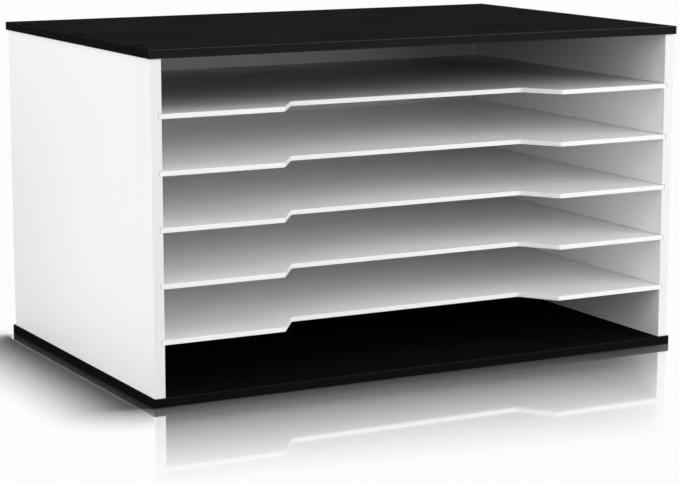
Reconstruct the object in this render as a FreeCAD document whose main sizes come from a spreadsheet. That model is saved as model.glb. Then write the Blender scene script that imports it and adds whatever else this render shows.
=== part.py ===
import FreeCAD, Part
import os

import Sketcher

# Desk-top organizer for large sheets of craft paper.
#
# Two white side boards stand between a black base board and a black top board. A thin white
# back board lies in rebates in their rear edges. Five loose shelves, each with a finger
# notch, slide from the front into grooves in the sides and make six flat slots. Countersunk
# screws hold the base and the top, nails hold the back, and thin bands cover the board edges.
#
# Frame: millimetres, X to the right, Y to the back, Z up. The origin is the middle of the
# outline's lower face, so the front faces -Y and the base lies on Z = 0.

# Driving sizes, in millimetres, and counts.
SIZES = (
    ("case_width", 494.0, "outer width, which is the width of the base and the top"),
    ("case_depth", 318.0, "outer depth, which is the depth of the base and the top"),
    ("case_height", 280.0, "outer height"),
    ("panel_thick", 7.0, "thickness of the base and of the top"),
    ("side_thick", 9.0, "thickness of each side"),
    ("side_overhang", 1.5, "base and top past the outer face of each side"),
    ("front_overhang", 1.5, "base and top past the front edges of the sides"),
    ("rear_overhang", 2.5, "base and top past the rear edges of the sides"),
    ("band_thick", 1.0, "thickness of the edge bands"),
    ("band_round", 0.4, "rounding of the outer corners of the edge bands"),
    ("back_thick", 3.0, "thickness of the back board"),
    ("rebate_reach", 5.0, "how far the rebate for the back cuts into the side's inner face"),
    ("back_play", 0.25, "gap between the back board's edge and the rebate, each side"),
    ("shelf_count", 5, "number of loose shelves"),
    ("shelf_thick", 4.0, "thickness of a shelf"),
    ("shelf_side_play", 0.5, "gap between a shelf's edge and the groove's floor, each side"),
    ("shelf_rear_play", 0.5, "gap between a shelf and the back board"),
    ("groove_deep", 3.0, "depth of a shelf groove into the side"),
    ("groove_play", 0.4, "groove height beyond the shelf's thickness"),
    ("notch_mouth", 262.0, "width of the finger notch at the shelf's front edge"),
    ("notch_floor", 219.0, "width of the finger notch at its inner edge"),
    ("notch_deep", 31.5, "depth of the finger notch"),
    ("notch_outer_round", 3.0, "rounding where the notch meets the front edge"),
    ("notch_inner_round", 4.0, "rounding in the notch's inner corners"),
    ("screw_count", 3, "screws along each side, at the top and at the base"),
    ("screw_end_gap", 38.0, "from the board's front or rear edge to the nearest screw"),
    ("screw_long", 30.0, "length of a screw, head included"),
    ("screw_thick", 3.5, "diameter of a screw's shank"),
    ("screw_head", 7.0, "diameter of a screw's countersunk head"),
    ("screw_tip", 3.5, "length of a screw's point"),
    ("screw_sink", 0.3, "how far a screw head lies below the board's face"),
    ("recess_wide", 3.8, "span of the cross in a screw head"),
    ("recess_slot", 0.9, "width of each slot of the cross"),
    ("recess_deep", 1.4, "depth of the cross"),
    ("nail_count", 4, "nails along each side of the back board"),
    ("nail_end_gap", 22.0, "from the back board's lower or upper edge to the nearest nail"),
    ("nail_long", 16.0, "length of a nail under its head"),
    ("nail_thick", 1.4, "diameter of a nail"),
    ("nail_head", 3.2, "diameter of a nail's flat head"),
    ("nail_head_thick", 0.6, "thickness of a nail's flat head"),
    ("nail_tip", 2.0, "length of a nail's point"),
    ("hole_play", 0.1, "gap between a screw or a nail and its hole, all round"),
    ("hole_spare", 1.0, "depth of a blind hole past the point in it"),
    ("overrun", 2.0, "how far a cut runs past the faces that it opens"),
)

# Sizes and places that follow from the driving sizes.
SIDE_HIGH = "(sizes.case_height - 2 * sizes.panel_thick)"
SIDE_DEPTH = "(sizes.case_depth - sizes.front_overhang - sizes.rear_overhang)"
SIDE_OUTER_X = "(sizes.case_width / 2 - sizes.side_overhang)"
SIDE_INNER_X = f"({SIDE_OUTER_X} - sizes.side_thick)"
SIDE_FRONT_Y = "(sizes.front_overhang - sizes.case_depth / 2)"
TOP_Z = "(sizes.case_height - sizes.panel_thick)"
BACK_SEAT = f"({SIDE_DEPTH} - sizes.back_thick)"
BACK_HALF = f"({SIDE_INNER_X} + sizes.rebate_reach - sizes.back_play)"
GROOVE_HIGH = "(sizes.shelf_thick + sizes.groove_play)"
SHELF_PITCH = f"({SIDE_HIGH} / (sizes.shelf_count + 1))"
FIRST_GROOVE = f"({SHELF_PITCH} - {GROOVE_HIGH} / 2)"
SHELF_HALF = f"({SIDE_INNER_X} + sizes.groove_deep - sizes.shelf_side_play)"
SHELF_DEPTH = f"({BACK_SEAT} - sizes.shelf_rear_play)"
SCREW_X = f"({SIDE_OUTER_X} - sizes.side_thick / 2)"
SCREW_FRONT_Y = "(sizes.screw_end_gap - sizes.case_depth / 2)"
SCREW_PITCH = "((sizes.case_depth - 2 * sizes.screw_end_gap) / (sizes.screw_count - 1))"
SCREW_HOLE = "(sizes.screw_thick / 2 + sizes.hole_play)"
SCREW_REACH = "(sizes.screw_long + sizes.screw_sink - sizes.panel_thick + sizes.hole_spare)"
NAIL_X = f"({SIDE_INNER_X} + sizes.rebate_reach / 2)"
NAIL_PITCH = f"(({SIDE_HIGH} - 2 * sizes.nail_end_gap) / (sizes.nail_count - 1))"
NAIL_HOLE = "(sizes.nail_thick / 2 + sizes.hole_play)"
NAIL_REACH = "(sizes.nail_long - sizes.back_thick + sizes.hole_spare)"

# Which way along X a side's inner face looks.
LEFT = 1
RIGHT = -1

# The screw heads' cones slope at half of this, in degrees.
COUNTERSINK_ANGLE = 90
NEARLY_ZERO = 1e-6

doc = FreeCAD.newDocument("paper_organizer")
sheet = doc.addObject("Spreadsheet::Sheet", "sizes")


def fill_sheet():
    """Write the driving sizes into the sheet, one a row: name, value, meaning."""
    for row, (name, number, meaning) in enumerate(SIZES, 1):
        sheet.set(f"A{row}", name)
        sheet.set(f"B{row}", str(number))
        sheet.set(f"C{row}", meaning)
        sheet.setAlias(f"B{row}", name)
    doc.recompute()


def value(expression):
    """The number that an expression of the sheet's cells gives."""
    return float(sheet.evalExpression(expression))


def datum(body, role):
    """One of a body's own origin planes or axes, by its role."""
    return next(item for item in body.Origin.OriginFeatures if item.Role == role)


def new_body(name, x="0", y="0", z="0"):
    """A body that takes its place in the organizer from three expressions."""
    body = doc.addObject("PartDesign::Body", name)
    body.Label = name
    for axis, expression in (("x", x), ("y", y), ("z", z)):
        body.setExpression(f"Placement.Base.{axis}", expression)
    return body


def new_sketch(body, name, plane, offset="0"):
    """A sketch on one of the body's origin planes, moved along that plane's normal."""
    sketch = body.newObject("Sketcher::SketchObject", f"{body.Name}_{name}")
    sketch.AttachmentSupport = [(datum(body, plane), "")]
    sketch.MapMode = "FlatFace"
    sketch.setExpression("AttachmentOffset.Base.z", offset)
    return sketch


def bind_point(sketch, element, end, across, up):
    """Hold one point of a sketch element at two expressions from the sketch's origin."""
    for kind, expression in (("DistanceX", across), ("DistanceY", up)):
        distance = Sketcher.Constraint(kind, -1, 1, element, end, value(expression))
        number = sketch.addConstraint(distance)
        sketch.setExpression(f"Constraints[{number}]", expression)


def draw_outline(sketch, points):
    """Draw a closed outline of straight lines through points given as expressions."""
    corners = [FreeCAD.Vector(value(across), value(up), 0) for across, up in points]
    following = corners[1:] + corners[:1]
    for start, end in zip(corners, following):
        sketch.addGeometry(Part.LineSegment(start, end), False)
    for line in range(len(points)):
        next_line = (line + 1) % len(points)
        sketch.addConstraint(Sketcher.Constraint("Coincident", line, 2, next_line, 1))
    for line, (across, up) in enumerate(points):
        bind_point(sketch, line, 1, across, up)


def draw_rectangle(sketch, left, right, low, high):
    """Draw a rectangle between four expressions."""
    draw_outline(sketch, [(left, low), (right, low), (right, high), (left, high)])


def draw_circles(sketch, centres, radius):
    """Draw equal circles at centres given as expressions."""
    upright = FreeCAD.Vector(0, 0, 1)
    for across, up in centres:
        middle = FreeCAD.Vector(value(across), value(up), 0)
        circle = sketch.addGeometry(Part.Circle(middle, upright, value(radius)), False)
        bind_point(sketch, circle, 3, across, up)
        number = sketch.addConstraint(Sketcher.Constraint("Radius", circle, value(radius)))
        sketch.setExpression(f"Constraints[{number}]", radius)


def pad(body, sketch, length, backwards=False):
    """Raise a sketch into a solid, backwards for against the sketch's normal."""
    feature = body.newObject("PartDesign::Pad", f"{sketch.Name}_pad")
    feature.Profile = sketch
    feature.Reversed = backwards
    feature.setExpression("Length", length)
    doc.recompute()
    return feature


def check_cut(body, volume_before):
    """Stop if the body's last feature took nothing away."""
    if body.Shape.Volume > volume_before - NEARLY_ZERO:
        raise RuntimeError(f"{body.Label}: {body.Tip.Name} cuts nothing")


def pocket(body, sketch, depth=None, forwards=False):
    """Cut a sketch into the body, against its normal or forwards, right through if no depth."""
    volume_before = body.Shape.Volume
    feature = body.newObject("PartDesign::Pocket", f"{sketch.Name}_pocket")
    feature.Profile = sketch
    feature.Reversed = forwards
    if depth is None:
        feature.Type = "ThroughAll"
    else:
        feature.setExpression("Length", depth)
    doc.recompute()
    check_cut(body, volume_before)
    return feature


def countersink(body, sketch, from_below):
    """Cut clearance holes with conical seats for the screw heads, right through a board."""
    volume_before = body.Shape.Volume
    feature = body.newObject("PartDesign::Hole", f"{sketch.Name}_hole")
    feature.Profile = sketch
    feature.Reversed = from_below
    feature.ThreadType = "None"
    feature.DepthType = "ThroughAll"
    feature.HoleCutType = "Countersink"
    feature.HoleCutCustomValues = True
    feature.setExpression("Diameter", f"2 * {SCREW_HOLE}")
    feature.setExpression(
        "HoleCutDiameter", "sizes.screw_head + 2 * sizes.screw_sink + 2 * sizes.hole_play"
    )
    feature.HoleCutCountersinkAngle = COUNTERSINK_ANGLE
    doc.recompute()
    check_cut(body, volume_before)
    return feature


def repeat(body, originals, axis, spacing, count):
    """Repeat features, or the whole body if none is given, along one of its axes."""
    original_names = "_".join(feature.Name for feature in originals) or body.Name
    pattern = body.newObject("PartDesign::LinearPattern", f"{original_names}_along_{axis[0]}")
    pattern.TransformMode = "Features" if originals else "Whole shape"
    pattern.Originals = originals
    pattern.Direction = (datum(body, axis), [""])
    pattern.Mode = "Spacing"
    pattern.setExpression("Offset", spacing)
    pattern.setExpression("Occurrences", count)
    body.Tip = pattern
    doc.recompute()
    return pattern


def round_edges(body, radius, wanted, upright=False):
    """Round the edges whose two ends both pass the test, in the body's own frame."""
    sharp = body.Tip
    names = [
        f"Edge{number}"
        for number, edge in enumerate(sharp.Shape.Edges, 1)
        if all(wanted(vertex.Point) for vertex in edge.Vertexes)
        and (edge.BoundBox.ZLength > NEARLY_ZERO or not upright)
    ]
    fillet = body.newObject("PartDesign::Fillet", f"{sharp.Name}_round")
    fillet.Base = (sharp, names)
    fillet.setExpression("Radius", radius)
    doc.recompute()
    return fillet


def near(number, expression):
    """Whether a number is the value of an expression, but for rounding."""
    return abs(number - value(expression)) < NEARLY_ZERO


def board(name, z, screw_face, screws_from_below):
    """Base or top: a board inside its edge bands, with seats for the screw heads."""
    body = new_body(name, z=z)
    half_width = "(sizes.case_width / 2 - sizes.band_thick)"
    half_depth = "(sizes.case_depth / 2 - sizes.band_thick)"
    outline = new_sketch(body, "outline", "XY_Plane")
    draw_rectangle(outline, f"-{half_width}", half_width, f"-{half_depth}", half_depth)
    pad(body, outline, "sizes.panel_thick")
    heads = new_sketch(body, "heads", "XY_Plane", screw_face)
    draw_circles(
        heads, [(f"-{SCREW_X}", SCREW_FRONT_Y), (SCREW_X, SCREW_FRONT_Y)], SCREW_HOLE
    )
    seats = countersink(body, heads, screws_from_below)
    repeat(body, [seats], "Y_Axis", SCREW_PITCH, "sizes.screw_count")
    return body


def cross_band(name, z, face):
    """Edge band along the front (face -1) or the rear (face 1) of the base or the top."""
    body = new_body(name, z=z)
    half_width = "sizes.case_width / 2"
    outer = f"{face} * sizes.case_depth / 2"
    inner = f"{face} * (sizes.case_depth / 2 - sizes.band_thick)"
    outline = new_sketch(body, "outline", "XY_Plane")
    draw_rectangle(outline, f"-{half_width}", half_width, inner, outer)
    pad(body, outline, "sizes.panel_thick")
    round_edges(body, "sizes.band_round", lambda point: near(point.y, outer))
    return body


def end_band(name, z, face):
    """Edge band along the left (face -1) or the right (face 1), between the other two."""
    body = new_body(name, z=z)
    half_depth = "(sizes.case_depth / 2 - sizes.band_thick)"
    outer = f"{face} * sizes.case_width / 2"
    inner = f"{face} * (sizes.case_width / 2 - sizes.band_thick)"
    section = new_sketch(body, "section", "XZ_Plane", half_depth)
    draw_rectangle(section, inner, outer, "0", "sizes.panel_thick")
    pad(body, section, f"2 * {half_depth}", backwards=True)
    round_edges(
        body,
        "sizes.band_round",
        lambda point: near(point.x, outer) and near(point.z, "0"),
    )
    round_edges(
        body,
        "sizes.band_round",
        lambda point: near(point.x, outer) and near(point.z, "sizes.panel_thick"),
    )
    return body


def banded_board(name, z, screw_face, screws_from_below):
    """A board of the case and its four edge bands, as separate pieces."""
    return [
        board(f"{name}_panel", z, screw_face, screws_from_below),
        cross_band(f"{name}_front_band", z, -1),
        cross_band(f"{name}_rear_band", z, 1),
        end_band(f"{name}_left_band", z, -1),
        end_band(f"{name}_right_band", z, 1),
    ]


def side_body(name, hand):
    """An empty body at a side's front lower outer corner. Its inner face is towards hand."""
    return new_body(name, f"-{hand} * {SIDE_OUTER_X}", SIDE_FRONT_Y, "sizes.panel_thick")


def cut_grooves(body, hand):
    """Cut the shelf grooves through a side or its front band, evenly spaced in its height."""
    floor = f"{hand} * (sizes.side_thick - sizes.groove_deep)"
    mouth = f"{hand} * (sizes.side_thick + sizes.overrun)"
    section = new_sketch(body, "groove", "XZ_Plane")
    draw_rectangle(section, floor, mouth, FIRST_GROOVE, f"{FIRST_GROOVE} + {GROOVE_HIGH}")
    groove = pocket(body, section)
    repeat(body, [groove], "Z_Axis", SHELF_PITCH, "sizes.shelf_count")


def side(name, hand):
    """A side board: shelf grooves, a rebate for the back, and holes for screws and nails."""
    body = side_body(name, hand)
    outline = new_sketch(body, "outline", "XY_Plane")
    draw_rectangle(outline, "0", f"{hand} * sizes.side_thick", "sizes.band_thick", SIDE_DEPTH)
    pad(body, outline, SIDE_HIGH)

    rebate = new_sketch(body, "rebate", "XY_Plane")
    draw_rectangle(
        rebate,
        f"{hand} * (sizes.side_thick - sizes.rebate_reach)",
        f"{hand} * (sizes.side_thick + sizes.overrun)",
        BACK_SEAT,
        f"{SIDE_DEPTH} + sizes.overrun",
    )
    pocket(body, rebate, forwards=True)
    cut_grooves(body, hand)

    screw_place = (f"{hand} * sizes.side_thick / 2", f"{SCREW_FRONT_Y} - {SIDE_FRONT_Y}")
    low_screws = new_sketch(body, "low_screws", "XY_Plane")
    draw_circles(low_screws, [screw_place], SCREW_HOLE)
    low_hole = pocket(body, low_screws, SCREW_REACH, forwards=True)
    repeat(body, [low_hole], "Y_Axis", SCREW_PITCH, "sizes.screw_count")
    high_screws = new_sketch(body, "high_screws", "XY_Plane", SIDE_HIGH)
    draw_circles(high_screws, [screw_place], SCREW_HOLE)
    high_hole = pocket(body, high_screws, SCREW_REACH)
    repeat(body, [high_hole], "Y_Axis", SCREW_PITCH, "sizes.screw_count")

    nail_place = (
        f"{hand} * (sizes.side_thick - sizes.rebate_reach / 2)",
        "sizes.nail_end_gap",
    )
    nails = new_sketch(body, "nails", "XZ_Plane", f"-{BACK_SEAT}")
    draw_circles(nails, [nail_place], NAIL_HOLE)
    nail_hole = pocket(body, nails, NAIL_REACH, forwards=True)
    repeat(body, [nail_hole], "Z_Axis", NAIL_PITCH, "sizes.nail_count")
    return body


def side_front_band(name, hand):
    """The band on a side's front edge, grooved with the side."""
    body = side_body(name, hand)
    outline = new_sketch(body, "outline", "XY_Plane")
    draw_rectangle(outline, "0", f"{hand} * sizes.side_thick", "0", "sizes.band_thick")
    pad(body, outline, SIDE_HIGH)
    round_edges(
        body,
        "sizes.band_round",
        lambda point: near(point.y, "0") and near(point.x, "0"),
    )
    round_edges(
        body,
        "sizes.band_round",
        lambda point: near(point.y, "0") and near(point.x, f"{hand} * sizes.side_thick"),
    )
    cut_grooves(body, hand)
    return body


def back():
    """The thin board in the sides' rebates, with a hole for each nail."""
    body = new_body("back_panel", y=f"{SIDE_FRONT_Y} + {BACK_SEAT}", z="sizes.panel_thick")
    outline = new_sketch(body, "outline", "XY_Plane")
    draw_rectangle(outline, f"-{BACK_HALF}", BACK_HALF, "0", "sizes.back_thick")
    pad(body, outline, SIDE_HIGH)
    nails = new_sketch(body, "nails", "XZ_Plane")
    places = [(f"-{NAIL_X}", "sizes.nail_end_gap"), (NAIL_X, "sizes.nail_end_gap")]
    draw_circles(nails, places, NAIL_HOLE)
    holes = pocket(body, nails)
    repeat(body, [holes], "Z_Axis", NAIL_PITCH, "sizes.nail_count")
    return body


def shelf(number):
    """A loose shelf on the lower faces of its grooves, with a finger notch at the front."""
    height = f"sizes.panel_thick + {FIRST_GROOVE} + {number - 1} * {SHELF_PITCH}"
    body = new_body(f"shelf_{number}", y=SIDE_FRONT_Y, z=height)
    outline = new_sketch(body, "outline", "XY_Plane")
    draw_outline(
        outline,
        [
            (f"-{SHELF_HALF}", "0"),
            ("-sizes.notch_mouth / 2", "0"),
            ("-sizes.notch_floor / 2", "sizes.notch_deep"),
            ("sizes.notch_floor / 2", "sizes.notch_deep"),
            ("sizes.notch_mouth / 2", "0"),
            (SHELF_HALF, "0"),
            (SHELF_HALF, SHELF_DEPTH),
            (f"-{SHELF_HALF}", SHELF_DEPTH),
        ],
    )
    pad(body, outline, "sizes.shelf_thick")
    round_edges(
        body,
        "sizes.notch_inner_round",
        lambda point: near(abs(point.x), "sizes.notch_floor / 2"),
        upright=True,
    )
    round_edges(
        body,
        "sizes.notch_outer_round",
        lambda point: near(abs(point.x), "sizes.notch_mouth / 2"),
        upright=True,
    )
    return body


def screws(name, x, z, half_turn):
    """All screws of one board, points down, or points up after half a turn about Y."""
    body = new_body(name, x, SCREW_FRONT_Y, z)
    body.AllowCompound = True
    body.Placement.Rotation = FreeCAD.Rotation(FreeCAD.Vector(0, 1, 0), half_turn)
    profile = new_sketch(body, "profile", "XZ_Plane")
    draw_outline(
        profile,
        [
            ("0", "0"),
            ("sizes.screw_head / 2", "0"),
            ("sizes.screw_thick / 2", "(sizes.screw_thick - sizes.screw_head) / 2"),
            ("sizes.screw_thick / 2", "sizes.screw_tip - sizes.screw_long"),
            ("0", "-sizes.screw_long"),
        ],
    )
    turn = body.newObject("PartDesign::Revolution", f"{name}_turn")
    turn.Profile = profile
    turn.ReferenceAxis = (profile, ["V_Axis"])
    doc.recompute()

    reach = "sizes.recess_wide / 2"
    half_slot = "sizes.recess_slot / 2"
    for slot, (across, up) in enumerate(((reach, half_slot), (half_slot, reach)), 1):
        recess = new_sketch(body, f"recess_{slot}", "XY_Plane")
        draw_rectangle(recess, f"-{across}", across, f"-{up}", up)
        pocket(body, recess, "sizes.recess_deep")
    repeat(body, [], "X_Axis", f"2 * {SCREW_X}", "2")
    repeat(body, [], "Y_Axis", SCREW_PITCH, "sizes.screw_count")
    return body


def nails():
    """All nails of the back board, heads on its rear face, points to the front."""
    rear_y = f"{SIDE_FRONT_Y} + {SIDE_DEPTH}"
    body = new_body("back_nails", f"-{NAIL_X}", rear_y, "sizes.panel_thick + sizes.nail_end_gap")
    body.AllowCompound = True
    profile = new_sketch(body, "profile", "XY_Plane")
    draw_outline(
        profile,
        [
            ("0", "sizes.nail_head_thick"),
            ("sizes.nail_head / 2", "sizes.nail_head_thick"),
            ("sizes.nail_head / 2", "0"),
            ("sizes.nail_thick / 2", "0"),
            ("sizes.nail_thick / 2", "sizes.nail_tip - sizes.nail_long"),
            ("0", "-sizes.nail_long"),
        ],
    )
    turn = body.newObject("PartDesign::Revolution", "back_nails_turn")
    turn.Profile = profile
    turn.ReferenceAxis = (profile, ["V_Axis"])
    doc.recompute()
    repeat(body, [], "X_Axis", f"2 * {NAIL_X}", "2")
    repeat(body, [], "Z_Axis", NAIL_PITCH, "sizes.nail_count")
    return body


def build():
    """Make every piece of the organizer and return the bodies."""
    fill_sheet()
    bodies = banded_board("base", "0", "0", screws_from_below=True)
    bodies += banded_board("top", TOP_Z, "sizes.panel_thick", screws_from_below=False)
    for word, hand in (("left", LEFT), ("right", RIGHT)):
        bodies.append(side(f"{word}_side", hand))
        bodies.append(side_front_band(f"{word}_side_front_band", hand))
    bodies.append(back())
    bodies += [shelf(number) for number in range(1, int(value("sizes.shelf_count")) + 1)]
    bodies.append(screws("base_screws", SCREW_X, "sizes.screw_sink", 180))
    top_head = "sizes.case_height - sizes.screw_sink"
    bodies.append(screws("top_screws", f"-{SCREW_X}", top_head, 0))
    bodies.append(nails())
    doc.recompute()
    return bodies


def check(bodies):
    """Stop on a failed object, an empty or faulty shape, or a lost solid."""
    for item in doc.Objects:
        if {"Invalid", "Error"} & set(item.State):
            raise RuntimeError(f"{item.Name} failed: {item.State}")
    solids = {
        "base_screws": 2 * value("sizes.screw_count"),
        "top_screws": 2 * value("sizes.screw_count"),
        "back_nails": 2 * value("sizes.nail_count"),
    }
    for body in bodies:
        if body.Shape.isNull() or not body.Shape.isValid():
            raise RuntimeError(f"{body.Label} has no valid shape")
        if len(body.Shape.Solids) != solids.get(body.Label, 1):
            raise RuntimeError(f"{body.Label} has {len(body.Shape.Solids)} solids")


def export(bodies):
    """Write each piece to a file of its own."""
    os.makedirs("parts", exist_ok=True)
    for body in bodies:
        body.Shape.exportStep(f"parts/{body.Label}.step")
        print(body.Label, round(body.Shape.Volume), "mm3")


organizer = build()
check(organizer)
export(organizer)
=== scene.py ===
"""Looks of a desk-top paper organizer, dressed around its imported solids.

The organizer is a low box with a black base and top, white sides, a white back and five
loose white shelves, each with a finger notch. Metres, X to the right, Y to the back, Z up.
"""

import logging
import math
from dataclasses import dataclass, field
from enum import Enum
from typing import Any

import bmesh
import bpy
from mathutils import Euler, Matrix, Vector


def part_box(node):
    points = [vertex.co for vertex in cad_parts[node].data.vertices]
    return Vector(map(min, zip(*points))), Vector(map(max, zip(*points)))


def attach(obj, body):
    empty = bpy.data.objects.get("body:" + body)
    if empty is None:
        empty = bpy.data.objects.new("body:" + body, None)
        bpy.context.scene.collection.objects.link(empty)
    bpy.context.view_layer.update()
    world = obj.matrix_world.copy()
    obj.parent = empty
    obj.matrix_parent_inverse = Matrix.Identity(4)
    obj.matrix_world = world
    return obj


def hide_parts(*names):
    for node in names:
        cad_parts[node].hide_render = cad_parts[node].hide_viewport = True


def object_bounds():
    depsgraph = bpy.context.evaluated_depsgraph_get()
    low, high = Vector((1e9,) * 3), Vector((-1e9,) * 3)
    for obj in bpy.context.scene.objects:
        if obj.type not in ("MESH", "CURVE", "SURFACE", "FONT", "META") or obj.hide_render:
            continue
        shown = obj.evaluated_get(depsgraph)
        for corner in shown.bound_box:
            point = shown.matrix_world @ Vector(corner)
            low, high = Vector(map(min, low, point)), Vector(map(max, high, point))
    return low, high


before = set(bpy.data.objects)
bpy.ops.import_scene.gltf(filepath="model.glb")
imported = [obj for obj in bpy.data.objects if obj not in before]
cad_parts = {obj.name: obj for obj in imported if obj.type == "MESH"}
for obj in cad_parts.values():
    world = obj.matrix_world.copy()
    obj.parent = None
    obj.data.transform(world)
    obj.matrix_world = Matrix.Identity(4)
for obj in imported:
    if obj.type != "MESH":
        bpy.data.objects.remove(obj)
CAD_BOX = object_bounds()

log = logging.getLogger("organizer")

Colour = tuple[float, float, float]
Point = tuple[float, float, float]
MM = 0.001
RIGHT_ANGLE = math.pi / 2
WHITE = (1.0, 1.0, 1.0, 1.0)
DRAWN_OUT = 0.04
SOFT_DETAIL = 2.0
FINE_DETAIL = 3.0


class Grain(Enum):
    """Which way a laminate's faint grain runs, as the pattern's scale along each axis."""

    ALONG_X = (DRAWN_OUT, 1.0, 1.0)
    ALONG_Y = (1.0, DRAWN_OUT, 1.0)
    ALONG_Z = (1.0, 1.0, DRAWN_OUT)


def grey(level: float) -> Colour:
    """A neutral colour of one level."""
    return (level, level, level)


def add_object(name: str, data: Any) -> bpy.types.Object:
    """Put a new object into the scene.

    Args:
        name: Its name.
        data: Its mesh, lamp or camera.

    Returns:
        The object, at the origin.
    """
    added = bpy.data.objects.new(name, data)
    bpy.context.scene.collection.objects.link(added)
    return added


def plain_mesh(item: bpy.types.Object, name: str) -> bpy.types.Mesh:
    """Turn an object with its modifiers into one plain mesh.

    Args:
        item: The object.
        name: The mesh's name.

    Returns:
        The mesh.
    """
    graph = bpy.context.evaluated_depsgraph_get()
    mesh = bpy.data.meshes.new_from_object(item.evaluated_get(graph))
    mesh.name = name
    return mesh


def wrap(built: bmesh.types.BMesh, loops: list[list[bmesh.types.BMVert]]) -> None:
    """Make the wall between each loop of points and the next one.

    Args:
        built: The mesh under construction.
        loops: Loops of equally many points, from the top down.
    """
    for upper, lower in zip(loops, loops[1:]):
        for side in range(len(upper)):
            after = (side + 1) % len(upper)
            built.faces.new((upper[side], lower[side], lower[after], upper[after]))


def closed_mesh(built: bmesh.types.BMesh, name: str) -> bpy.types.Mesh:
    """Turn the faces outwards and end the construction.

    Args:
        built: The mesh under construction.
        name: The finished mesh's name.

    Returns:
        The finished mesh.
    """
    bmesh.ops.recalc_face_normals(built, faces=built.faces)
    mesh = bpy.data.meshes.new(name)
    built.to_mesh(mesh)
    built.free()
    return mesh


class Tone:
    """A number that varies over a surface: an output socket with Python's operators."""

    def __init__(self, graph: "Graph", socket: bpy.types.NodeSocket) -> None:
        """Wrap a socket.

        Args:
            graph: The node graph that the socket belongs to.
            socket: A float output socket.
        """
        self.graph = graph
        self.socket = socket

    def _math(self, operation: str, first: Any, second: Any) -> "Tone":
        """Add a Math node.

        Args:
            operation: The node's operation.
            first: Its first value, a number or a tone.
            second: Its second value, a number or a tone.

        Returns:
            The node's result.
        """
        node = self.graph.node("ShaderNodeMath", {"operation": operation}, {0: first, 1: second})
        return Tone(self.graph, node.outputs[0])

    def __add__(self, other: Any) -> "Tone":
        """This tone plus another, or plus a number."""
        return self._math("ADD", self, other)

    def __radd__(self, other: Any) -> "Tone":
        """A number plus this tone."""
        return self._math("ADD", other, self)

    def __sub__(self, other: Any) -> "Tone":
        """This tone less another, or less a number."""
        return self._math("SUBTRACT", self, other)

    def __rsub__(self, other: Any) -> "Tone":
        """A number less this tone."""
        return self._math("SUBTRACT", other, self)

    def __mul__(self, other: Any) -> "Tone":
        """This tone times another, or times a number."""
        return self._math("MULTIPLY", self, other)

    def __rmul__(self, other: Any) -> "Tone":
        """A number times this tone."""
        return self._math("MULTIPLY", other, self)

    def __truediv__(self, other: Any) -> "Tone":
        """This tone over another, or over a number."""
        return self._math("DIVIDE", self, other)

    def above(self, limit: Any) -> "Tone":
        """One where the tone is over the limit, and zero elsewhere."""
        return self._math("GREATER_THAN", self, limit)

    def at_least(self, other: Any) -> "Tone":
        """The larger of the tone and another."""
        return self._math("MAXIMUM", self, other)

    def at_most(self, other: Any) -> "Tone":
        """The smaller of the tone and another."""
        return self._math("MINIMUM", self, other)

    def size(self) -> "Tone":
        """The tone without its sign."""
        return self._math("ABSOLUTE", self, 0.0)

    def root(self) -> "Tone":
        """The tone's square root."""
        return self._math("SQRT", self, 0.0)


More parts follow.
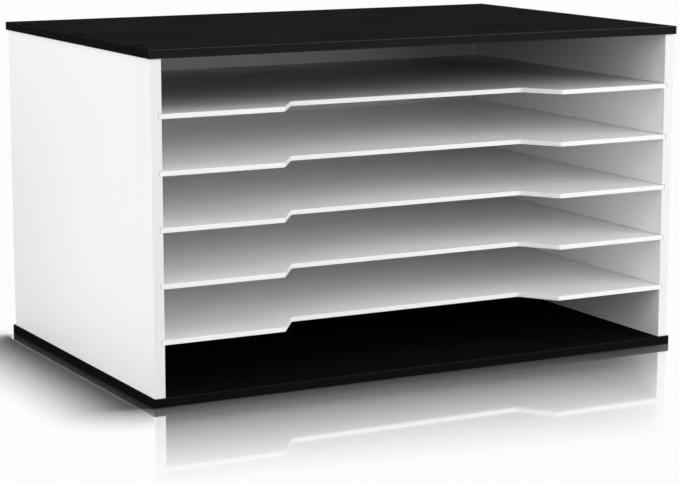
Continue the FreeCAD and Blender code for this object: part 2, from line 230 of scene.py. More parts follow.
class Graph:
    """Node tree of a material or of the world, filled by one node-making method."""

    noise_roughness: float = 0.5
    arris_limit: float = 0.1
    level_limit: float = 0.5

    def __init__(self, owner: Any) -> None:
        """Empty the owner's tree.

        Args:
            owner: A material or a world.
        """
        owner.use_nodes = True
        self.tree = owner.node_tree
        self.tree.nodes.clear()

    def node(self, kind: str, settings: dict | None = None, inputs: dict | None = None) -> Any:
        """Add a node, with its settings first and then its sockets.

        Args:
            kind: The node's type.
            settings: Attributes to set.
            inputs: Values, tones or sockets, by the name or the number of the input.

        Returns:
            The new node.
        """
        node = self.tree.nodes.new(kind)
        for name, setting in (settings or {}).items():
            setattr(node, name, setting)
        for name, given in (inputs or {}).items():
            source = given.socket if isinstance(given, Tone) else given
            if isinstance(source, bpy.types.NodeSocket):
                self.tree.links.new(source, node.inputs[name])
            else:
                node.inputs[name].default_value = source
        return node

    def place(self) -> bpy.types.NodeSocket:
        """The surface point in the object's own coordinates, in metres."""
        return self.node("ShaderNodeTexCoord").outputs["Object"]

    def stretched(self, stretch: Point) -> bpy.types.NodeSocket:
        """The surface point with its axes scaled, to draw a pattern out along one of them.

        Args:
            stretch: The scale along each axis.

        Returns:
            The scaled point.
        """
        return self.node(
            "ShaderNodeMapping", None, {"Vector": self.place(), "Scale": stretch}
        ).outputs["Vector"]

    def axes(self, vector: bpy.types.NodeSocket) -> tuple[Tone, Tone, Tone]:
        """Take a vector apart.

        Args:
            vector: The vector.

        Returns:
            Its parts along X, Y and Z.
        """
        parts = self.node("ShaderNodeSeparateXYZ", None, {"Vector": vector}).outputs
        return tuple(Tone(self, parts[axis]) for axis in "XYZ")

    def noise(self, point: bpy.types.NodeSocket, size: float, detail: float) -> Tone:
        """Soft noise from 0 to 1.

        Args:
            point: Where it is read.
            size: Rough size of its patches, in metres.
            detail: How many finer layers it has.

        Returns:
            The noise.
        """
        node = self.node(
            "ShaderNodeTexNoise",
            {"noise_dimensions": "3D"},
            {
                "Vector": point,
                "Scale": 1.0 / size,
                "Detail": detail,
                "Roughness": self.noise_roughness,
            },
        )
        return Tone(self, node.outputs["Fac"])

    def blend(self, factor: Tone, low: Any, high: Any) -> bpy.types.NodeSocket:
        """A colour between two others.

        Args:
            factor: 0 for the first colour and 1 for the second.
            low: The first colour, or its socket.
            high: The second colour, or its socket.

        Returns:
            The blended colour.
        """
        ends = [
            end if isinstance(end, bpy.types.NodeSocket) else (*end, 1.0) for end in (low, high)
        ]
        node = self.node(
            "ShaderNodeMix",
            {"data_type": "RGBA", "clamp_factor": True},
            {"Factor": factor, 6: ends[0], 7: ends[1]},
        )
        return node.outputs[2]

    def facing(self) -> tuple[Tone, Tone, Tone]:
        """How far the surface faces along each axis, from 0 to 1, whichever way."""
        normal = self.node("ShaderNodeNewGeometry").outputs["True Normal"]
        return tuple(part.size() for part in self.axes(normal))

    def arris(self) -> Tone:
        """One on the rounded level edges, and zero on the flat faces."""
        x, y, z = self.facing()
        return ((x + y) * z).above(self.arris_limit)

    def level(self) -> Tone:
        """One on a board's upper and lower face, and zero on what stands upright."""
        return self.facing()[2].above(self.level_limit)

    def bump(self, height: Tone, depth: float, strength: float) -> bpy.types.NodeSocket:
        """A normal that follows a height.

        Args:
            height: The height, 0 to 1.
            depth: How high 1 is, in metres.
            strength: How much of the effect shows.

        Returns:
            The normal.
        """
        return self.node(
            "ShaderNodeBump", None, {"Height": height, "Distance": depth, "Strength": strength}
        ).outputs["Normal"]

    def seen(self) -> Tone:
        """One for what the camera sees, straight or in a shiny surface, and zero for light."""
        path = self.node("ShaderNodeLightPath").outputs
        seen = Tone(self, path["Is Camera Ray"])
        for way in ("Is Glossy Ray", "Is Transmission Ray"):
            seen = seen.at_least(Tone(self, path[way]))
        return seen

    def show(self, shader: bpy.types.NodeSocket, output: str = "Material") -> None:
        """Show a shader.

        Args:
            shader: The shader's output.
            output: Material or World.
        """
        self.node(f"ShaderNodeOutput{output}", None, {"Surface": shader})

    def show_principled(self, inputs: dict[str, Any]) -> None:
        """Show a Principled shader.

        Args:
            inputs: What its sockets get.
        """
        self.show(self.node("ShaderNodeBsdfPrincipled", None, inputs).outputs["BSDF"])


@dataclass(frozen=True)
class HoleShade:
    """Painted shade in each screw hole of a level board and on a ring round it, in two rows."""

    row_x: float
    end_y: float
    # colour is the painted shade, and rim is the radius of the painted dark ring round each hole's
    # middle.
    colour: Colour = grey(0.001)
    rim: float = 5.2 * MM

    def mask(self, graph: Graph) -> Tone:
        """Mark the painted shade round each screw of a board on its finish.

        Args:
            graph: The finish's graph.

        Returns:
            One on each hole's wall and painted ring, and zero elsewhere.
        """
        x, y = (part.size() for part in graph.axes(graph.place())[:2])
        across = x - self.row_x
        along = (y - self.end_y).size().at_most(y)
        # A painted dark ring round each hole's middle, and painted shade on the hole's wall.
        shaded_rings = self.rim - (across * across + along * along).root()
        shaded_walls = graph.level_limit - graph.facing()[2]
        return shaded_rings.at_least(shaded_walls).above(0.0)


@dataclass(frozen=True)
class Laminate:
    """Smooth decor film on a board: a faint grain, a slow mottle and a fine skin.

    Its rounded edges get a colour of their own, which paints a highlight along them where it is
    lighter.
    """

    name: str
    colour: Colour
    # Colour of the rounded edges: where it is lighter than the film, it is a painted highlight.
    arris_sheen: Colour
    shade: float
    roughness: float
    gloss: float = 0.0
    coat: float = 0.0
    coat_roughness: float = 0.3
    grain: Grain = Grain.ALONG_X
    grain_size: float = 1.2 * MM
    grain_contrast: float = 1.0
    grain_roughness: float = 0.06
    mottle_size: float = 45 * MM
    skin_size: float = 0.45 * MM
    skin_share: float = 0.7
    skin_depth: float = 0.012 * MM
    skin_strength: float = 0.35

    def material(self, hole_shade: HoleShade | None = None) -> bpy.types.Material:
        """Build the finish.

        Args:
            hole_shade: Painted shade round each screw, to put on it.

        Returns:
            The material.
        """
        made = bpy.data.materials.new(self.name)
        graph = Graph(made)
        streaks = graph.noise(graph.stretched(self.grain.value), self.grain_size, FINE_DETAIL)
        mottle = graph.noise(graph.place(), self.mottle_size, SOFT_DETAIL)
        skin = graph.noise(graph.place(), self.skin_size, SOFT_DETAIL)
        darker = tuple(part * self.shade for part in self.colour)
        drift = self.grain_contrast * (0.5 * streaks + 0.5 * mottle - 0.5)
        film = graph.blend(0.5 + drift, darker, self.colour)
        # The rounded edges take their own colour, a painted highlight where it is lighter than the
        # film.
        colour = graph.blend(graph.arris(), film, self.arris_sheen)
        # Painted shade round each screw: near black on its hole's wall and on a ring beside it.
        if hole_shade:
            colour = graph.blend(hole_shade.mask(graph), colour, hole_shade.colour)
        relief = self.skin_share * skin + (1.0 - self.skin_share) * streaks
        graph.show_principled({
            "Base Color": colour,
            "Roughness": self.roughness + self.grain_roughness * (streaks - 0.5),
            "Specular IOR Level": self.gloss,
            "Coat Weight": self.coat,
            "Coat Roughness": self.coat_roughness,
            "Normal": graph.bump(relief, self.skin_depth, self.skin_strength),
        })
        return made


@dataclass(frozen=True)
class ShelfFinish:
    """White laminate on a shelf's two faces, and sprayed lacquer on its cut edges.

    The edges are a little rougher, and the board's fibres stand out on them.
    """

    name: str
    face: Colour
    edge: Colour
    shade: float = 0.985
    roughness: float = 0.45
    edge_roughness: float = 0.06
    gloss: float = 0.4
    mottle_size: float = 40 * MM
    fibre_size: float = 0.35 * MM
    fibre_roughness: float = 0.08
    fibre_on_edges: float = 1.35
    fibre_depth: float = 0.02 * MM
    fibre_strength: float = 0.35

    def material(self) -> bpy.types.Material:
        """Build the finish.

        Returns:
            The material.
        """
        made = bpy.data.materials.new(self.name)
        graph = Graph(made)
        on_face = graph.level()
        mottle = graph.noise(graph.place(), self.mottle_size, SOFT_DETAIL)
        fibre = graph.noise(graph.place(), self.fibre_size, FINE_DETAIL)
        darker = tuple(part * self.shade for part in self.face)
        face = graph.blend(mottle, darker, self.face)
        rougher = self.fibre_roughness * (fibre - 0.5) + self.edge_roughness * (1.0 - on_face)
        relief = fibre * (self.fibre_on_edges - on_face)
        graph.show_principled({
            "Base Color": graph.blend(on_face, self.edge, face),
            "Roughness": self.roughness + rougher,
            "Specular IOR Level": self.gloss,
            "Normal": graph.bump(relief, self.fibre_depth, self.fibre_strength),
        })
        return made


@dataclass(frozen=True)
class Steel:
    """Steel of the screws and nails, bare or blackened."""

    name: str
    colour: Colour
    metallic: float
    roughness: float
    gloss: float
    shade: float = 0.7
    patch_size: float = 0.6 * MM
    patch_roughness: float = 0.15
    patch_depth: float = 0.01 * MM
    patch_strength: float = 0.3

    def material(self) -> bpy.types.Material:
        """Build the finish.

        Returns:
            The material.
        """
        made = bpy.data.materials.new(self.name)
        graph = Graph(made)
        patches = graph.noise(graph.place(), self.patch_size, SOFT_DETAIL)
        darker = tuple(part * self.shade for part in self.colour)
        graph.show_principled({
            "Base Color": graph.blend(patches, darker, self.colour),
            "Metallic": self.metallic,
            "Roughness": self.roughness + self.patch_roughness * (patches - 0.5),
            "Specular IOR Level": self.gloss,
            "Normal": graph.bump(patches, self.patch_depth, self.patch_strength),
        })
        return made


def dress(node: str, material: bpy.types.Material) -> bpy.types.Object:
    """Give a CAD node its finish.

    Args:
        node: The node's name.
        material: Its finish.

    Returns:
        The node's object.
    """
    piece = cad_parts[node]
    piece.data.materials.clear()
    piece.data.materials.append(material)
    log.info("%s wears %s", node, material.name)
    return piece


@dataclass(frozen=True)
class EasedEdges:
    """Small rounding of a board's sharp edges, as sanding and lacquer leave it."""

    radius: float = 0.45 * MM
    segments: int = 3
    join_gap: float = 0.001 * MM
    flat_limit: float = 0.5
    sharp_limit: float = 40.0

    def ease(self, piece: bpy.types.Object) -> None:
        """Round a board's edges by modifiers.

        Args:
            piece: A board whose mesh may be loose triangles.
        """
        weld = piece.modifiers.new("join", "WELD")
        weld.merge_threshold = self.join_gap
        flatten = piece.modifiers.new("flat_faces", "DECIMATE")
        flatten.decimate_type = "DISSOLVE"
        flatten.angle_limit = math.radians(self.flat_limit)
        bevel = piece.modifiers.new("eased_edges", "BEVEL")
        bevel.width = self.radius
        bevel.segments = self.segments
        bevel.limit_method = "ANGLE"
        bevel.angle_limit = math.radians(self.sharp_limit)


@dataclass
class Case:
    """The fixed box: base and top with their bands, the sides and the back."""

    top_black: Laminate = Laminate(
        "black_laminate",
        colour=grey(0.0136),
        arris_sheen=grey(0.012),
        shade=0.5,
        roughness=0.6,
        coat=0.012,
        grain_size=9 * MM,
        grain_contrast=3.0,
        mottle_size=70 * MM,
    )
    # The base's black is darker than the top's: painted shade for the dim lowest slot.
    shaded_base_black: Laminate = Laminate(
        "shaded_black_base_laminate",
        colour=grey(0.0068),
        arris_sheen=grey(0.007),
        shade=0.72,
        roughness=0.6,
        coat=0.012,
    )
    # The bands' lighter edge colours paint a highlight along their rounded edges.
    top_band: Laminate = Laminate(
        "black_top_band",
        colour=grey(0.0120),
        arris_sheen=(0.045, 0.045, 0.044),
        shade=0.8,
        roughness=0.5,
        coat=0.06,
    )
    # Darker than the top's band: painted shade, as less light reaches it low down.
    shaded_base_band: Laminate = Laminate(
        "shaded_black_base_band",
        colour=grey(0.0060),
        arris_sheen=grey(0.018),
        shade=0.8,
        roughness=0.5,
        coat=0.015,
    )
    # Darker than the front and rear bands: painted shade on the boards' ends.
    shaded_black_end_band: Laminate = Laminate(
        "shaded_black_end_band",
        colour=grey(0.0055),
        arris_sheen=grey(0.008),
        shade=0.8,
        roughness=0.5,
        coat=0.01,
        grain=Grain.ALONG_Y,
    )
    white: Laminate = Laminate(
        "white_laminate",
        colour=(0.900, 0.888, 0.904),
        arris_sheen=(0.900, 0.888, 0.904),
        shade=0.985,
        roughness=0.45,
        gloss=0.3,
        grain=Grain.ALONG_Z,
    )
    back_white: Laminate = Laminate(
        "white_back_laminate",
        colour=(0.775, 0.772, 0.778),
        arris_sheen=(0.775, 0.772, 0.778),
        shade=0.97,
        roughness=0.55,
        gloss=0.3,
    )
    # A shade darker than the sides' white: painted shade on the front edges. Its lighter edge
    # colour is a painted highlight.
    white_band: Laminate = Laminate(
        "shaded_white_edge_band",
        colour=(0.860, 0.852, 0.864),
        arris_sheen=(0.885, 0.877, 0.889),
        shade=0.985,
        roughness=0.4,
        gloss=0.3,
        grain=Grain.ALONG_Z,
    )

    def dress(self) -> None:
        """Give every board and band its finish."""
        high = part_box("top_screws")[1]
        head_radius = Screw.head / 2
        # The top gets painted shade round each screw.
        hole_shade = HoleShade(row_x=high.x - head_radius, end_y=high.y - head_radius)
        boards = {
            "base": (self.shaded_base_black.material(), self.shaded_base_band.material()),
            "top": (self.top_black.material(hole_shade), self.top_band.material()),
        }
        shaded_end_band = self.shaded_black_end_band.material()
        white = self.white.material()
        white_band = self.white_band.material()
        for level, (board, band) in boards.items():
            dress(f"{level}_panel", board)
            for place in ("front", "rear"):
                dress(f"{level}_{place}_band", band)
            for place in ("left", "right"):
                dress(f"{level}_{place}_band", shaded_end_band)
        for hand in ("left", "right"):
            dress(f"{hand}_side", white)
            dress(f"{hand}_side_front_band", white_band)
        dress("back_panel", self.back_white.material())


@dataclass
class Shelves:
    """The five loose shelves."""

    finish: ShelfFinish = ShelfFinish(
        "shelf_lacquer", face=(0.901, 0.901, 0.906), edge=(0.910, 0.910, 0.916)
    )
    edges: EasedEdges = EasedEdges()

    def dress(self) -> None:
        """Give every shelf its finish and eased edges."""
        material = self.finish.material()
        for name in sorted(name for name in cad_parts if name.startswith("shelf_")):
            self.edges.ease(dress(name, material))


@dataclass
class Screw:
    """Countersunk wood screw with a cross recess, head up, its head's face at Z = 0."""

    length: float = 30 * MM
    shank: float = 3.5 * MM
    head: float = 7 * MM
    rim: float = 0.2 * MM
    core_share: float = 0.68
    neck: float = 5 * MM
    tip: float = 4 * MM
    pitch: float = 1.5 * MM
    crest_share: float = 0.5
    sides: int = 24
    rings_per_turn: int = 8
    slot_wide: float = 0.9 * MM
    slot_long: float = 4.0 * MM
    slot_deep: float = 1.5 * MM
    slot_taper: float = 0.55

    def mesh(self, name: str) -> bpy.types.Mesh:
        """Turn the screw and sink its recess.

        Args:
            name: The mesh's name.

        Returns:
            A closed mesh.
        """
        blank = add_object(f"{name}_blank", self._blank())
        cutter = add_object(f"{name}_cutter", self._cross())
        cut = blank.modifiers.new("recess", "BOOLEAN")
        cut.operation = "DIFFERENCE"
        cut.solver = "EXACT"
        cut.object = cutter
        mesh = plain_mesh(blank, name)
        for item in (blank, cutter):
            bpy.data.objects.remove(item)
        return mesh

    def _profile(self) -> list[tuple[float, float, float]]:
        """Rings from the head down: height, radius, and how much of the thread shows."""
        half = self.shank / 2
        core = half * self.core_share
        cone_end = -(self.head - self.shank) / 2
        thread_start = cone_end - self.neck
        tip_start = self.tip - self.length
        step = self.pitch / self.rings_per_turn
        count = round((thread_start - tip_start) / step)
        rings = [
            (0.0, self.head / 2 - self.rim, 0.0),
            (-self.rim / 2, self.head / 2, 0.0),
            (-self.rim, self.head / 2 - self.rim / 4, 0.0),
            (cone_end, half, 0.0),
            (thread_start, half, 0.0),
        ]
        for ring in range(1, count + 1):
            height = thread_start - (thread_start - tip_start) * ring / count
            rings.append((height, core, min(1.0, ring / self.rings_per_turn)))
        taper = round(self.tip / step)
        for ring in range(1, taper):
            left = 1.0 - ring / taper
            rings.append((tip_start - self.tip * (1.0 - left), core * left, left))
        return rings

    def _blank(self) -> bpy.types.Mesh:
        """The turned and threaded screw without its recess.

        Returns:
            A closed mesh.
        """
        built = bmesh.new()
        crest = self.shank / 2 * (1.0 - self.core_share)
        loops = []
        for height, radius, thread in self._profile():
            loop = []
            for side in range(self.sides):
                turn = side / self.sides
                phase = (height / self.pitch + turn) % 1.0
                ridge = max(0.0, 1.0 - abs(phase - 0.5) / (self.crest_share / 2))
                reach = radius + crest * ridge * thread
                angle = turn * math.tau
                loop.append(
                    built.verts.new((reach * math.cos(angle), reach * math.sin(angle), height))
                )
            loops.append(loop)
        wrap(built, loops)
        built.faces.new(loops[0])
        point = built.verts.new((0.0, 0.0, -self.length))
        for side in range(self.sides):
            built.faces.new((loops[-1][(side + 1) % self.sides], loops[-1][side], point))
        return closed_mesh(built, "screw_blank")

    def _cross(self) -> bpy.types.Mesh:
        """The cutter for the recess: a cross that narrows downwards.

        Returns:
            A closed mesh that stands a little above the head.
        """
        built = bmesh.new()
        wide, long = self.slot_wide / 2, self.slot_long / 2
        outline = [
            (long, -wide), (long, wide), (wide, wide), (wide, long),
            (-wide, long), (-wide, wide), (-long, wide), (-long, -wide),
            (-wide, -wide), (-wide, -long), (wide, -long), (wide, -wide),
        ]
        ends = ((self.slot_deep, 2.0 - self.slot_taper), (-self.slot_deep, self.slot_taper))
        upper, lower = (
            [built.verts.new((x * grow, y * grow, height)) for x, y in outline]
            for height, grow in ends
        )
        wrap(built, [upper, lower])
        built.faces.new(upper)
        built.faces.new(list(reversed(lower)))
        return closed_mesh(built, "screw_cross")


@dataclass
class Nail:
    """Flat-headed nail, head up, the underside of its head at Z = 0.

    The rings of its crown are given by how far they lie below the top, in crowns, and by
    their share of the head's radius.
    """

    length: float = 16 * MM
    shank: float = 1.4 * MM
    head: float = 3.2 * MM
    head_thick: float = 0.6 * MM
    crown: float = 0.12 * MM
    crown_rings: tuple[tuple[float, float], ...] = ((1 / 3, 0.45), (1.0, 0.85), (2.0, 0.98))
    underside_share: float = 0.96
    tip: float = 2 * MM
    sides: int = 20

    def mesh(self, name: str) -> bpy.types.Mesh:
        """Turn the nail.

        Args:
            name: The mesh's name.

        Returns:
            A closed mesh.
        """
        half, rim = self.shank / 2, self.head / 2
        rings = [
            (self.head_thick - drop * self.crown, rim * share) for drop, share in self.crown_rings
        ]
        rings += [
            (self.head_thick / 3, rim),
            (0.0, rim * self.underside_share),
            (0.0, half),
            (self.tip - self.length, half),
        ]
        turns = [side * math.tau / self.sides for side in range(self.sides)]
        built = bmesh.new()
        loops = [
            [
                built.verts.new((radius * math.cos(turn), radius * math.sin(turn), height))
                for turn in turns
            ]
            for height, radius in rings
        ]
        wrap(built, loops)
        top = built.verts.new((0.0, 0.0, self.head_thick))
        point = built.verts.new((0.0, 0.0, -self.length))
        for side in range(self.sides):
            after = (side + 1) % self.sides
            built.faces.new((top, loops[0][side], loops[0][after]))
            built.faces.new((loops[-1][after], loops[-1][side], point))
        return closed_mesh(built, name)


@dataclass
class FastenerRows:
    """Geometry nodes that set one fastener at the crossings of two rows and a few columns."""

    name: str = "fastener_rows"
    rows: int = 2
    tree: bpy.types.NodeTree | None = field(default=None, init=False)

    def build(self) -> None:
        """Make the tree: a grid of points, the fastener on each, turned, moved and joined."""
        tree = bpy.data.node_groups.new(self.name, "GeometryNodeTree")
        for name, kind in (
            ("Geometry", "Geometry"),
            ("Fastener", "Object"),
            ("Span Across", "Float"),
            ("Span Along", "Float"),
            ("Count Along", "Int"),
            ("Grid Turn", "Vector"),
            ("Fastener Turn", "Vector"),
            ("Middle", "Vector"),
            ("Finish", "Material"),
        ):
            tree.interface.new_socket(name, in_out="INPUT", socket_type=f"NodeSocket{kind}")
        tree.interface.new_socket(
            "Geometry", in_out="OUTPUT", socket_type="NodeSocketGeometry"
        )
        given = tree.nodes.new("NodeGroupInput").outputs
        grid = tree.nodes.new("GeometryNodeMeshGrid")
        grid.inputs["Vertices X"].default_value = self.rows
        place = tree.nodes.new("GeometryNodeTransform")
        source = tree.nodes.new("GeometryNodeObjectInfo")
        spread = tree.nodes.new("GeometryNodeInstanceOnPoints")
        turn = tree.nodes.new("FunctionNodeEulerToRotation")
        join = tree.nodes.new("GeometryNodeRealizeInstances")
        finish = tree.nodes.new("GeometryNodeSetMaterial")
        result = tree.nodes.new("NodeGroupOutput")
        for start, end in (
            (given["Span Across"], grid.inputs["Size X"]),
            (given["Span Along"], grid.inputs["Size Y"]),
            (given["Count Along"], grid.inputs["Vertices Y"]),
            (grid.outputs["Mesh"], place.inputs["Geometry"]),
            (given["Grid Turn"], place.inputs["Rotation"]),
            (given["Middle"], place.inputs["Translation"]),
            (given["Fastener"], source.inputs["Object"]),
            (place.outputs["Geometry"], spread.inputs["Points"]),
            (source.outputs["Geometry"], spread.inputs["Instance"]),
            (given["Fastener Turn"], turn.inputs["Euler"]),
            (turn.outputs["Rotation"], spread.inputs["Rotation"]),
            (spread.outputs["Instances"], join.inputs["Geometry"]),
            (join.outputs["Geometry"], finish.inputs["Geometry"]),
            (given["Finish"], finish.inputs["Material"]),
            (finish.outputs["Geometry"], result.inputs["Geometry"]),
        ):
            tree.links.new(start, end)
        self.tree = tree

    def spread(
        self, name: str, source: bpy.types.Mesh, inputs: dict[str, Any]
    ) -> bpy.types.Object:
        """Set copies of a fastener and turn them into one plain mesh.

        Args:
            name: The new piece's name.
            source: The fastener's mesh.
            inputs: The tree's other inputs, by name.

        Returns:
            The new piece, at the origin.
        """
        master = add_object(f"{name}_one", source)
        carrier = add_object(f"{name}_rows", bpy.data.meshes.new(f"{name}_rows"))
        rows = carrier.modifiers.new("rows", "NODES")
        rows.node_group = self.tree
        given = inputs | {"Fastener": master}
        for item in self.tree.interface.items_tree:
            if item.in_out == "INPUT" and item.name in given:
                rows[item.identifier] = given[item.name]
        mesh = plain_mesh(carrier, name)
        for item in (master, carrier):
            bpy.data.objects.remove(item)
        return add_object(name, mesh)


@dataclass
class Fasteners:
    """The screws of the base and the top, and the nails of the back."""

    screw: Screw = field(default_factory=Screw)
    nail: Nail = field(default_factory=Nail)
    screw_rows: int = 3
    nail_rows: int = 4
    black_steel: Steel = Steel(
        "black_screw_steel", grey(0.0015), metallic=0.0, roughness=0.4, gloss=0.0
    )
    bright_steel: Steel = Steel(
        "nail_steel", (0.62, 0.62, 0.63), metallic=1.0, roughness=0.34, gloss=0.5
    )

    def build(self) -> None:
        """Make the rows of screws and nails where the solids have them."""
        rows = FastenerRows()
        rows.build()
        self._screws(rows, "top_screws", upside_down=False)
        self._screws(rows, "base_screws", upside_down=True)
        self._nails(rows)

    def _screws(self, rows: FastenerRows, node: str, upside_down: bool) -> None:
        """Make one board's screws.

        Args:
            rows: The tree that spreads them.
            node: The node that they stand for.
            upside_down: Whether their heads are below.
        """
        low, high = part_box(node)
        face = low.z if upside_down else high.z
        piece = rows.spread(
            f"{node}_turned",
            self.screw.mesh("wood_screw"),
            {
                "Span Across": high.x - low.x - self.screw.head,
                "Span Along": high.y - low.y - self.screw.head,
                "Count Along": self.screw_rows,
                "Grid Turn": (0.0, 0.0, 0.0),
                "Fastener Turn": (math.pi if upside_down else 0.0, 0.0, 0.0),
                "Middle": ((low.x + high.x) / 2, (low.y + high.y) / 2, face),
                "Finish": self.black_steel.material(),
            },
        )
        self._seat(piece, node)

    def _nails(self, rows: FastenerRows) -> None:
        """Make the back board's nails.

        Args:
            rows: The tree that spreads them.
        """
        low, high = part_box("back_nails")
        seat = high.y - self.nail.head_thick
        piece = rows.spread(
            "back_nails_turned",
            self.nail.mesh("flat_nail"),
            {
                "Span Across": high.x - low.x - self.nail.head,
                "Span Along": high.z - low.z - self.nail.head,
                "Count Along": self.nail_rows,
                "Grid Turn": (RIGHT_ANGLE, 0.0, 0.0),
                "Fastener Turn": (-RIGHT_ANGLE, 0.0, 0.0),
                "Middle": ((low.x + high.x) / 2, seat, (low.z + high.z) / 2),
                "Finish": self.bright_steel.material(),
            },
        )
        self._seat(piece, "back_nails")

    def _seat(self, piece: bpy.types.Object, node: str) -> None:
        """Put a row of fasteners in the place of its node.

        Args:
            piece: The row.
            node: The node that it stands for.
        """
        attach(piece, "case")
        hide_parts(node)
        log.info("%s stands for %s, %d faces", piece.name, node, len(piece.data.polygons))


@dataclass(frozen=True)
class Softbox:
    """Large soft lamp for the object alone, which isn't seen itself.

    One that isn't mirrored doesn't show in shiny surfaces either, where its reflection
    would burn out the white boards.
    """

    name: str
    place: Point
    power: float
    target: Point = (0.0, 0.0, 0.14)
    size: float = 1.0
    mirrored: bool = True

    def build(self, spared: bpy.types.Object) -> None:
        """Hang the lamp and turn it to its target.

        Args:
            spared: The floor, which the lamp doesn't light.
        """
        lamp = bpy.data.lights.new(self.name, "AREA")
        lamp.shape = "SQUARE"
        lamp.size = self.size
        lamp.energy = self.power
        hung = add_object(self.name, lamp)
        hung.location = self.place
        away = Vector(self.place) - Vector(self.target)
        hung.rotation_euler = away.to_track_quat("Z", "Y").to_euler()
        hung.visible_camera = False
        hung.visible_glossy = self.mirrored
        unlit = bpy.data.collections.new(f"{self.name}_spares")
        unlit.objects.link(spared)
        unlit.collection_objects[0].light_linking.link_state = "EXCLUDE"
        hung.light_linking.receiver_collection = unlit
        log.info("%s hangs at %s", self.name, self.place)


@dataclass
class Floor:
    """Pale polished floor with the case's soft shadow and a reflection that fades.

    A soft lamp of its own, high up on the right, brings the floor to white where nothing
    shades it. The object sees a darker floor, so that this lamp puts little light on it.

    The reflection has three zones. The one in front fades over mirror_reach, which grows to
    the right by mirror_slant, and its left border slants by mirror_skew. The strip along the
    left side ends strip_reach away on that same slant. The contact zone runs all round the
    case and ends contact_reach away.
    """

    size: float = 40.0
    colour: float = 0.15
    dim_colour: float = 0.056
    brightness: float = 0.98
    world_share: float = 0.6
    lamp_tilt: float = 11.5
    lamp_turn: float = 110.0
    lamp_spread: float = 16.0
    polish: float = 3.5
    polish_ior: float = 1.5
    mirror_roughness: float = 0.05
    mirror_most: float = 0.82
    mirror_reach: float = 0.245
    mirror_slant: float = 0.14
    mirror_skew: float = 0.438
    strip_reach: float = 0.024
    strip_fade: float = 0.08
    contact_reach: float = 0.012

    def build(self) -> bpy.types.Object:
        """Lay the floor and light it.

        Returns:
            The floor.
        """
        half = self.size / 2
        mesh = bpy.data.meshes.new("floor")
        corners = [(-half, -half, 0.0), (half, -half, 0.0), (half, half, 0.0), (-half, half, 0.0)]
        mesh.from_pydata(corners, [], [(0, 1, 2, 3)])
        mesh.materials.append(self._material())
        floor = add_object("floor", mesh)
        self._lamp(floor)
        return floor

    def _lamp(self, floor: bpy.types.Object) -> None:
        """Hang the floor's own lamp, which lights nothing else.

        Args:
            floor: The floor.
        """
        tilt = math.radians(self.lamp_tilt)
        missing = self.brightness - self.colour * self.world_share
        lamp = bpy.data.lights.new("floor_lamp", "SUN")
        lamp.angle = math.radians(self.lamp_spread)
        lamp.energy = missing / self.colour * math.pi / math.cos(tilt)
        hung = add_object("floor_lamp", lamp)
        hung.rotation_euler = Euler((tilt, 0.0, math.radians(self.lamp_turn)))
        lit = bpy.data.collections.new("lit_by_the_floor_lamp")
        lit.objects.link(floor)
        hung.light_linking.receiver_collection = lit

    def _material(self) -> bpy.types.Material:
        """Mix the matt floor with the fading reflection.

        Returns:
            The material.
        """
        material = bpy.data.materials.new("floor_white")
        graph = Graph(material)
        seen = graph.seen()
        tone = graph.blend(seen, grey(self.dim_colour), grey(self.colour))
        matt = graph.node("ShaderNodeBsdfDiffuse", None, {"Color": tone}).outputs["BSDF"]
        glossy = graph.node(
            "ShaderNodeBsdfAnisotropic", None, {"Color": WHITE, "Roughness": self.mirror_roughness}
        ).outputs["BSDF"]
        share = seen * self._shine(graph)
        mixed = graph.node("ShaderNodeMixShader", None, {0: share, 1: matt, 2: glossy})
        graph.show(mixed.outputs["Shader"])
        return material

    def _shine(self, graph: Graph) -> Tone:
        """How much the floor reflects: most near the case, and only at a low angle.

        Args:
            graph: The floor's graph.

        Returns:
            The share of the reflection.
        """
        x, y = graph.axes(graph.place())[:2]
        low, high = CAD_BOX
        before = (low.y - y).at_least(0.0)
        behind = (y - high.y).at_least(0.0)
        beside = (x.size() - high.x).at_least(0.0)
        away = (beside * beside + behind * behind + before * before).root()
        contact = 1.0 - away / self.contact_reach
        reach = self.mirror_reach + self.mirror_slant * x
        fading = (1.0 - before / reach).at_most(self.mirror_most)
        front = (x + self.mirror_skew * before).above(low.x) * before.above(0.0) * fading
        left_run = (low.x - x).at_least(0.0) / self.mirror_skew
        run = before.at_least(left_run)
        at_left = left_run.above(0.0) * (high.y - y).above(left_run)
        near = (self.strip_reach - run).above(0.0)
        strip = at_left * near * self.mirror_most * (1.0 - run / self.strip_fade)
        fresnel = graph.node("ShaderNodeFresnel", None, {"IOR": self.polish_ior})
        glance = Tone(graph, fresnel.outputs["Fac"])
        return self.polish * glance * contact.at_least(front).at_least(strip).at_least(0.0)


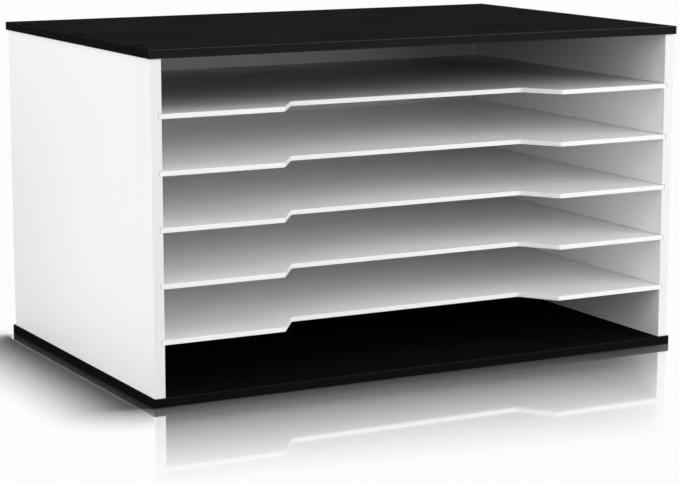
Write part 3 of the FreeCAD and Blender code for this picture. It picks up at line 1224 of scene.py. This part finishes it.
@dataclass
class Studio:
    """White floor, soft light all round and the camera."""

    light: float = 0.6
    backdrop: float = 0.98
    bounces: int = 16
    softboxes: tuple[Softbox, ...] = (
        Softbox("front_left_softbox", (-1.3, -0.9, 0.75), 5.0),
        Softbox("front_right_softbox", (0.9, -1.4, 0.5), 12.9, mirrored=False),
        Softbox("left_softbox", (-1.5, -0.45, 0.2), 3.4),
        Softbox("low_left_softbox", (-0.62, -0.08, 0.07), 0.36, (-0.2, -0.05, 0.03), 0.13),
        Softbox("high_front_softbox", (0.0, -1.3, 1.6), 2.8),
        Softbox("rear_softbox", (-0.3, 1.9, 0.5), 15.0),
        Softbox("right_softbox", (1.9, 0.5, 0.5), 10.5),
    )
    lens: float = 118.06
    camera_place: Point = (-0.9179, -1.7155, 0.4313)
    camera_yaw: float = 28.21
    camera_pitch: float = 10.03
    far_clip: float = 200.0

    def build(self) -> None:
        """Set up the floor, the light and the camera."""
        floor = Floor().build()
        self._world()
        for softbox in self.softboxes:
            softbox.build(floor)
        self._camera()
        bpy.context.scene.view_settings.view_transform = "Standard"
        bpy.context.scene.cycles.diffuse_bounces = self.bounces
        bpy.context.scene.cycles.max_bounces = self.bounces

    def _world(self) -> None:
        """Light the object evenly, and show white behind it."""
        world = bpy.data.worlds.new("soft_white")
        bpy.context.scene.world = world
        graph = Graph(world)
        seen = graph.seen()
        strength = self.backdrop * seen + self.light * (1.0 - seen)
        background = graph.node(
            "ShaderNodeBackground", None, {"Color": WHITE, "Strength": strength}
        )
        graph.show(background.outputs["Background"], "World")

    def _camera(self) -> None:
        """Place the camera at the photograph's viewing angle."""
        camera = add_object("camera", bpy.data.cameras.new("camera"))
        camera.data.lens = self.lens
        camera.data.clip_end = self.far_clip
        camera.location = self.camera_place
        tilt = RIGHT_ANGLE - math.radians(self.camera_pitch)
        camera.rotation_euler = Euler((tilt, 0.0, -math.radians(self.camera_yaw)))
        bpy.context.scene.camera = camera


def main() -> None:
    """Dress the organizer and light it."""
    logging.basicConfig(level=logging.INFO, format="%(name)s: %(message)s")
    Studio().build()
    Case().dress()
    Shelves().dress()
    Fasteners().build()


if __name__ == "__main__":
    main()
